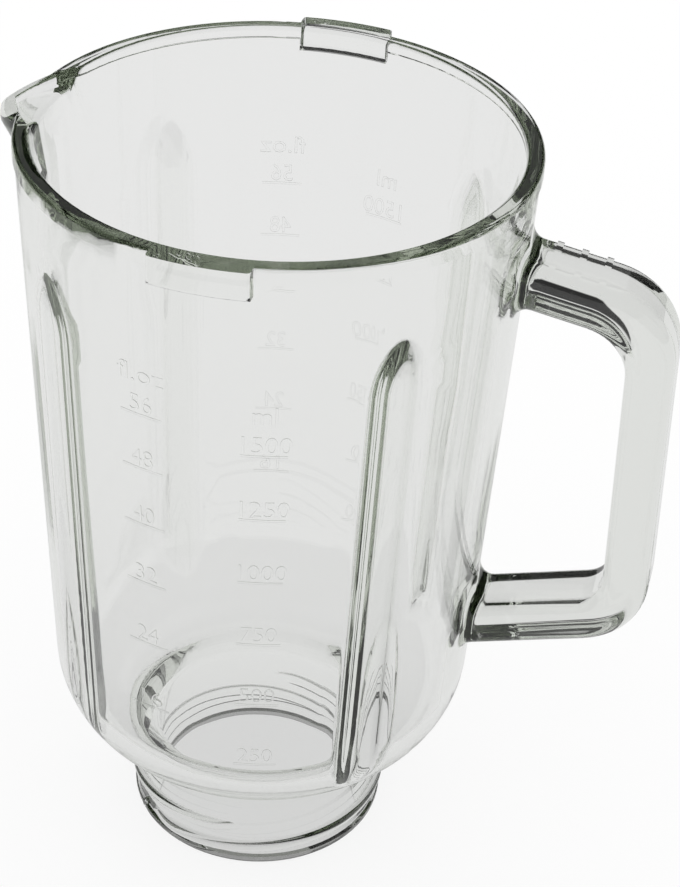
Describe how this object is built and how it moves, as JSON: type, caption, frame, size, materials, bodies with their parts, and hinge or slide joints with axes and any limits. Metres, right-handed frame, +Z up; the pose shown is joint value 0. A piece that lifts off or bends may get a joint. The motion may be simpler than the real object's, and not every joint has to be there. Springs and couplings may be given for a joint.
{
  "type": "blender jar",
  "caption": "Clear pressed glass blender jar with a side handle, pouring spout, lid lugs, inside ribs and an open threaded neck that takes a blade unit.",
  "frame": {"origin": "on the jar axis at the foot face of the neck", "axes": "+Z up along the jar axis, +X toward the handle, -X toward the spout, lid lugs on +Y and -Y"},
  "size_m": [0.1895, 0.1438, 0.2285],
  "materials": {
    "clear_glass": "clear, fire-polished pressed glass with a faint green tint in its edges"
  },
  "bodies": {
    "root": {"glass_jar": "clear_glass"}
  },
  "joints": []
}
